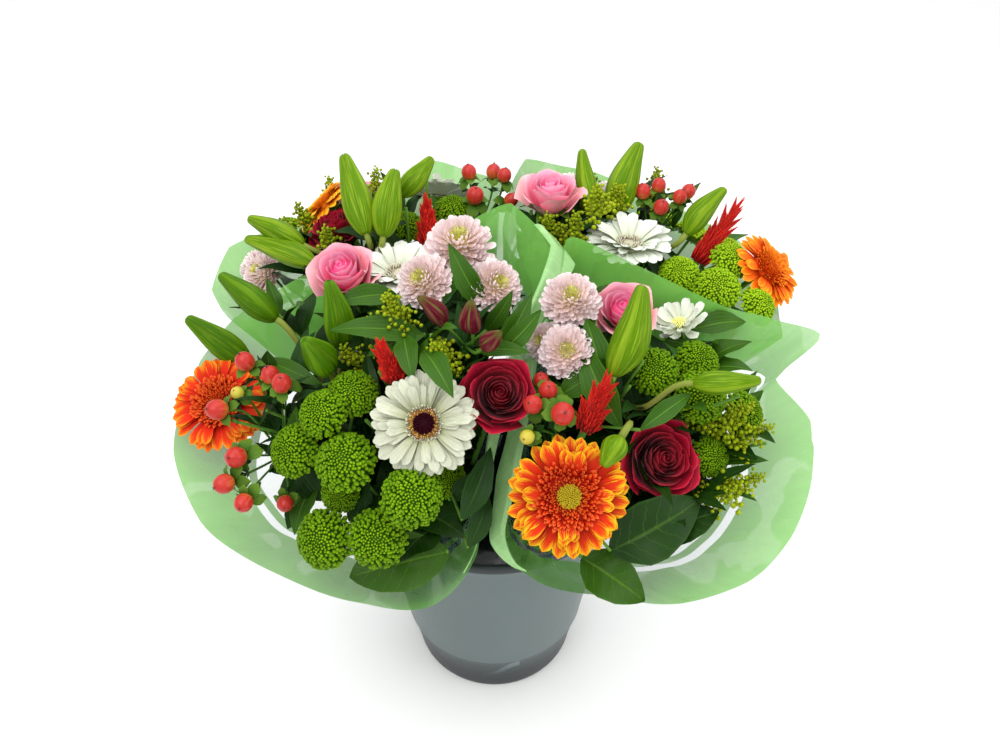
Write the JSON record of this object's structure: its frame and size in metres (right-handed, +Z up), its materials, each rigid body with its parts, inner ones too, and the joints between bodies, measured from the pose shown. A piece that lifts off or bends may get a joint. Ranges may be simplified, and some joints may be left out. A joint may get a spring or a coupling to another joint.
{
  "type": "mixed flower bouquet",
  "caption": "Film-wrapped mixed cut flowers standing in a round tapered florist's bucket of water, for display.",
  "frame": {"origin": "centre of the bucket's underside, on the surface it stands on", "axes": "+Z up along the bucket's axis, -Y towards the front of the display, +X to its right"},
  "size_m": [0.5296, 0.4055, 0.517],
  "materials": {
    "bucket": "satin",
    "water": "polished",
    "film": "gloss",
    "tie": "satin",
    "greenery": "satin",
    "orange_petals": "satin",
    "white_petals": "satin",
    "red_petals": "satin",
    "pink_petals": "satin",
    "lilac_petals": "satin",
    "green_florets": "matte",
    "berries": "gloss",
    "buds": "satin",
    "striped_buds": "satin",
    "plume": "matte"
  },
  "bodies": {
    "root": {"bucket": "bucket", "water": "water", "front_left_wrap": "film", "front_left_tie": "tie", "front_left_greens": "greenery", "front_left_orange_gerbera": "orange_petals", "front_left_white_gerbera": "white_petals", "front_left_rear_white_gerbera": "white_petals", "front_left_red_rose": "red_petals", "front_left_pink_rose": "pink_petals", "front_left_lilac_daisies": "lilac_petals", "front_left_front_buttons": "green_florets", "front_left_side_buttons": "green_florets", "front_left_coral_berries": "berries", "front_left_lily_buds": "buds", "front_left_red_plume": "plume", "front_left_alstroemeria_buds": "striped_buds", "front_right_wrap": "film", "front_right_tie": "tie", "front_right_greens": "greenery", "front_right_orange_gerbera": "orange_petals", "front_right_red_rose": "red_petals", "front_right_pink_rose": "pink_petals", "front_right_lilac_daisies": "lilac_petals", "front_right_white_daisy": "white_petals", "front_right_green_buttons": "green_florets", "front_right_coral_berries": "berries", "front_right_red_plume": "plume", "front_right_lily_buds": "buds", "back_left_wrap": "film", "back_left_tie": "tie", "back_left_greens": "greenery", "back_left_orange_gerbera": "orange_petals", "back_left_red_rose": "red_petals", "back_left_white_gerbera": "white_petals", "back_left_pink_rose": "pink_petals", "back_left_lilac_daisies": "lilac_petals", "back_left_green_buttons": "green_florets", "back_left_rear_buttons": "green_florets", "back_left_coral_berries": "berries", "back_left_lily_buds": "buds", "back_left_red_plume": "plume", "back_right_wrap": "film", "back_right_tie": "tie", "back_right_greens": "greenery", "back_right_pink_rose": "pink_petals", "back_right_white_gerbera": "white_petals", "back_right_orange_gerbera": "orange_petals", "back_right_red_rose": "red_petals", "back_right_lilac_daisies": "lilac_petals", "back_right_green_buttons": "green_florets", "back_right_rear_buttons": "green_florets", "back_right_coral_berries": "berries", "back_right_lily_buds": "buds", "back_right_red_plume": "plume"}
  },
  "joints": []
}
